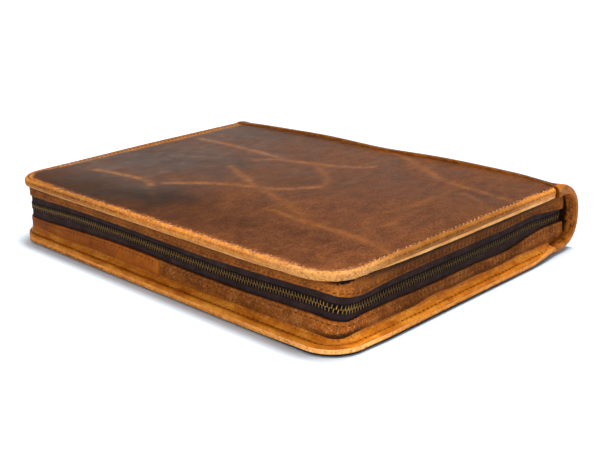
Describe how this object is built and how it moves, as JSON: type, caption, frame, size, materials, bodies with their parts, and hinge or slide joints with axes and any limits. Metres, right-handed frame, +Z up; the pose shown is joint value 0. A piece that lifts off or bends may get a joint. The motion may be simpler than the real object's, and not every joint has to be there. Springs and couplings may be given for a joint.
{
  "type": "zipped leather organizer",
  "caption": "Zipped leather document organizer lying flat: padded covers with rolled rims, a bulging spine, and a brass zip in a leather gusset round three edges.",
  "frame": {"origin": "middle of the bounding box in plan, on the surface that the back cover lies on", "axes": "+X along the spine, -Y towards the fore edge with the zip, +Y towards the spine, +Z up through the front cover"},
  "size_m": [0.344, 0.28, 0.0573],
  "materials": {
    "brown_leather": "waxed pull-up leather, satin",
    "tan_leather": "rubbed tan edge, satin",
    "pale_leather": "pale cut edge, satin",
    "spine_leather": "waxed pull-up leather, satin",
    "gusset_leather": "rough brown leather, matt",
    "orange_leather": "smooth orange-brown leather, satin",
    "zip_tape": "woven tape, matt",
    "antique_brass": "antique brass"
  },
  "bodies": {
    "root": {"front_cover": "brown_leather", "back_cover": "tan_leather", "front_edging": "pale_leather", "back_edging": "tan_leather", "spine": "spine_leather", "upper_gusset": "gusset_leather", "lower_gusset_left": "orange_leather", "lower_gusset_right": "gusset_leather", "zip_tape_upper": "zip_tape", "zip_tape_lower": "zip_tape", "zip_teeth": "antique_brass", "zip_slider": "antique_brass"}
  },
  "joints": []
}
